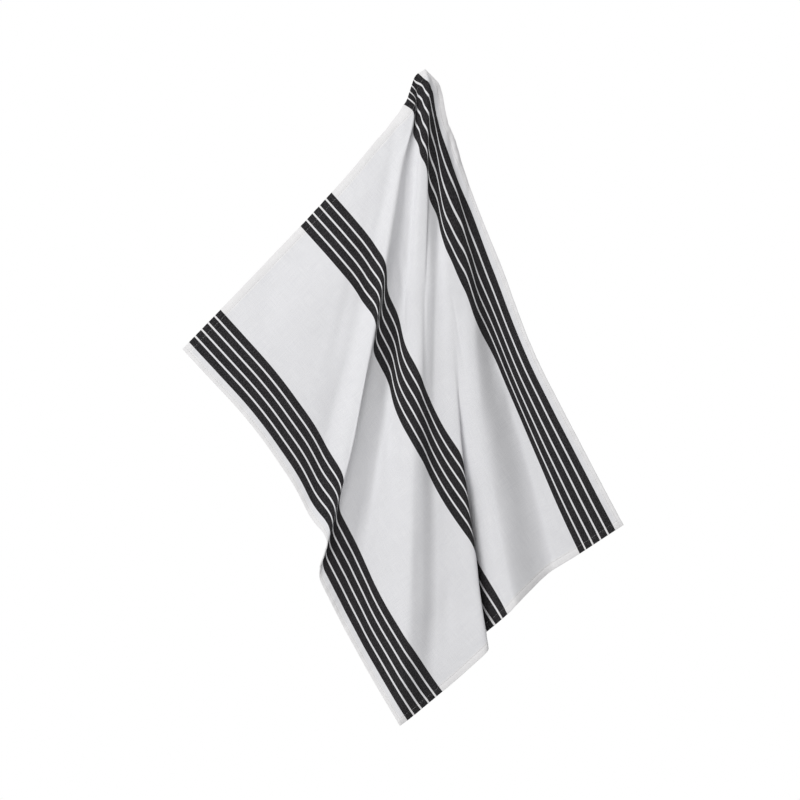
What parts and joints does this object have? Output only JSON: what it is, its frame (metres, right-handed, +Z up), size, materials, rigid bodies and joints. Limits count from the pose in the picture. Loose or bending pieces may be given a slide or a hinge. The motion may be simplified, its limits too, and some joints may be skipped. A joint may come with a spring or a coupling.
{
  "type": "tea towel",
  "caption": "Woven cotton tea towel with long dark stripe groups, hemmed all round, hanging by one corner in its own folds.",
  "frame": {"origin": "the hung corner, in the middle of the cloth's thickness, where a hook or peg would hold it", "axes": "+Z up, the way it hangs; the front faces -Y and the wall behind it lies to +Y; +X to the right seen from the front"},
  "size_m": [0.5623, 0.0407, 0.8351],
  "materials": {
    "cloth": "plain-woven cotton, matt, white ground with near-black stripe groups"
  },
  "bodies": {
    "root": {"towel": "cloth"}
  },
  "joints": []
}
